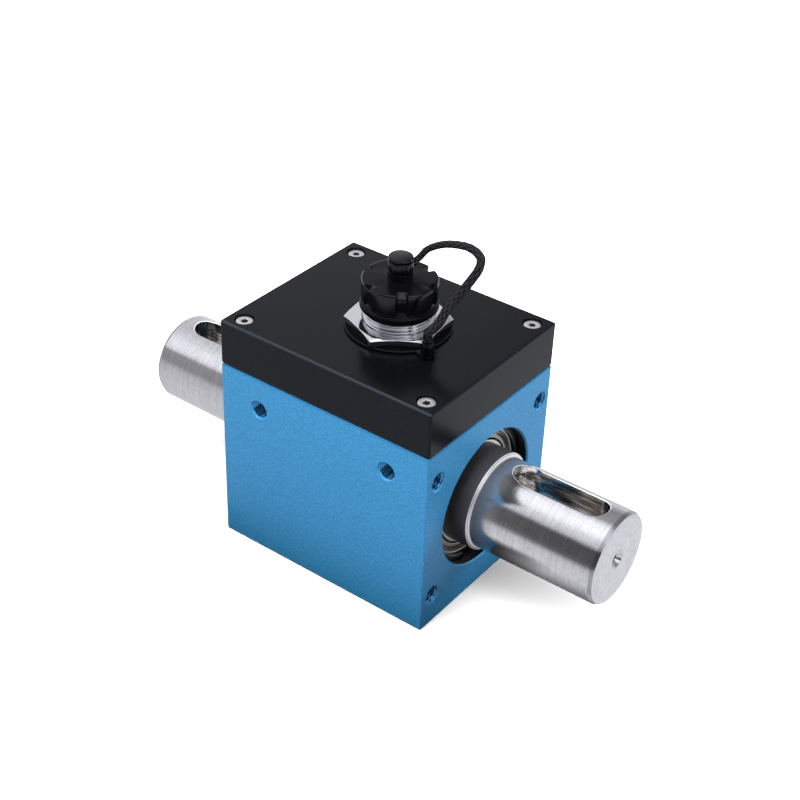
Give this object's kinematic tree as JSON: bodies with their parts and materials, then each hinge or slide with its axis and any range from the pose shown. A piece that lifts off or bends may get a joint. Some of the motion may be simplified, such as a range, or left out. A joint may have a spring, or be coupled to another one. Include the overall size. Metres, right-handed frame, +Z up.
{
  "type": "rotary torque sensor",
  "caption": "Square-bodied rotary torque sensor with a keyed through shaft, ball bearings, black cover and a round connector under a screw cap on a lanyard.",
  "frame": {"origin": "centre of the block's base face", "axes": "+X along the shaft to its front end, +Z up out of the cover, +Y to the side away from the lanyard's lower end"},
  "size_m": [0.144, 0.054, 0.0933],
  "materials": {
    "blue_anodised": "satin blue anodised",
    "black_anodised": "satin black anodised",
    "ground_steel": "finely turned",
    "polished_steel": "polished",
    "bearing_steel": "ground",
    "shield_steel": "pressed sheet",
    "stainless_steel": "plain stainless",
    "nickel_plate": "bright nickel plate",
    "black_plastic": "moulded, slightly glossy",
    "braided_cord": "braided",
    "rubber": "matt",
    "ferrite": "sintered",
    "copper": "enamelled wire",
    "gold_plate": "plated",
    "circuit_board": "solder mask",
    "gauge_foil": "polyimide foil"
  },
  "bodies": {
    "case": {"housing": "blue_anodised", "top_cover": "black_anodised", "cover_gasket": "rubber", "cover_screw_1": "stainless_steel", "cover_screw_2": "stainless_steel", "cover_screw_3": "stainless_steel", "cover_screw_4": "stainless_steel", "bearing_outer_ring_front": "bearing_steel", "bearing_outer_ring_rear": "bearing_steel", "bearing_shield_front": "shield_steel", "bearing_shield_rear": "shield_steel", "retaining_ring_front": "bearing_steel", "retaining_ring_rear": "bearing_steel", "stator_core_power": "ferrite", "stator_core_signal": "ferrite", "stator_coil_power": "copper", "stator_coil_signal": "copper", "speed_pickup": "black_plastic", "main_board": "circuit_board", "board_screw_1": "stainless_steel", "board_screw_2": "stainless_steel", "board_screw_3": "stainless_steel", "board_screw_4": "stainless_steel", "processor_chip": "black_plastic", "amplifier_chip": "black_plastic", "wire_bundle": "copper", "connector_shell": "nickel_plate", "connector_insert": "black_plastic", "contact_pin_1": "gold_plate", "contact_pin_2": "gold_plate", "contact_pin_3": "gold_plate", "contact_pin_4": "gold_plate", "contact_pin_5": "gold_plate", "contact_pin_6": "gold_plate", "panel_seal": "rubber", "connector_nut": "nickel_plate", "lanyard_ring": "black_plastic", "lanyard_cord": "braided_cord"},
    "rotor": {"torsion_shaft": "ground_steel", "shaft_collar_front": "polished_steel", "shaft_collar_rear": "polished_steel", "bearing_inner_ring_front": "bearing_steel", "bearing_inner_ring_rear": "bearing_steel", "strain_gauge_1": "gauge_foil", "strain_gauge_2": "gauge_foil", "strain_gauge_3": "gauge_foil", "strain_gauge_4": "gauge_foil", "rotor_board": "circuit_board", "rotor_core_power": "ferrite", "rotor_core_signal": "ferrite", "rotor_coil_power": "copper", "rotor_coil_signal": "copper", "toothed_disc": "ground_steel"},
    "front_balls": {"ball_cage_front": "bearing_steel"},
    "rear_balls": {"ball_cage_rear": "bearing_steel"},
    "cap_eye": {"lanyard_eye": "black_plastic"},
    "cap": {"protective_cap": "black_plastic", "cap_seal": "rubber"}
  },
  "joints": [
    {"name": "shaft_spin", "type": "hinge", "parent": "case", "child": "rotor", "pos_m": [0, 0, 0.027], "axis": [1, 0, 0], "continuous": true},
    {"name": "front_balls_spin", "type": "hinge", "parent": "case", "child": "front_balls", "pos_m": [0.0255, 0, 0.027], "axis": [1, 0, 0], "continuous": true},
    {"name": "rear_balls_spin", "type": "hinge", "parent": "case", "child": "rear_balls", "pos_m": [-0.0255, 0, 0.027], "axis": [1, 0, 0], "continuous": true},
    {"name": "cap_lift", "type": "slide", "parent": "case", "child": "cap_eye", "axis": [0, 0, 1], "range_m": [0, 0.0065], "deforming": ["lanyard_cord"]},
    {"name": "cap_turn", "type": "hinge", "parent": "cap_eye", "child": "cap", "pos_m": [0.003, 0, 0.075], "axis": [0, 0, 1], "range_deg": [0, 3100]}
  ],
  "couplings": [
    {"joint": "front_balls_spin", "follows": "shaft_spin", "ratio": 0.4518},
    {"joint": "rear_balls_spin", "follows": "shaft_spin", "ratio": 0.4518},
    {"joint": "cap_lift", "follows": "cap_turn", "m_per_rad": 0.00011937}
  ]
}
